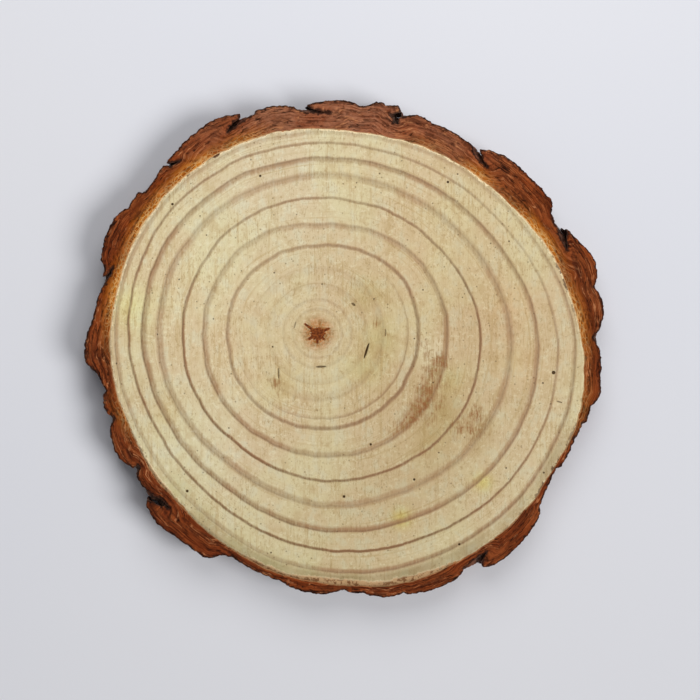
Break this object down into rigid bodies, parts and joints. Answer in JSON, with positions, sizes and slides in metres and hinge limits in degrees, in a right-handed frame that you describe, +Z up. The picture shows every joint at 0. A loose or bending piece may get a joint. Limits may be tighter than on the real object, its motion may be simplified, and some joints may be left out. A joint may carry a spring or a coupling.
{
  "type": "wood slice",
  "caption": "Round slice of a pine trunk with flat sawn faces and its bark on the edge, used as a coaster, stand or craft blank.",
  "frame": {"origin": "middle of the bounding box of the lower sawn face, which the slice lies on", "axes": "+Z up through the thickness, from the lower sawn face to the upper one; +X along the widest direction"},
  "size_m": [0.1646, 0.1568, 0.012],
  "materials": {
    "wood": "raw sawn end grain, pale, matt",
    "bark": "rough scaly bark, rust brown, matt"
  },
  "bodies": {
    "root": {"wood_disc": "wood", "bark": "bark"}
  },
  "joints": []
}
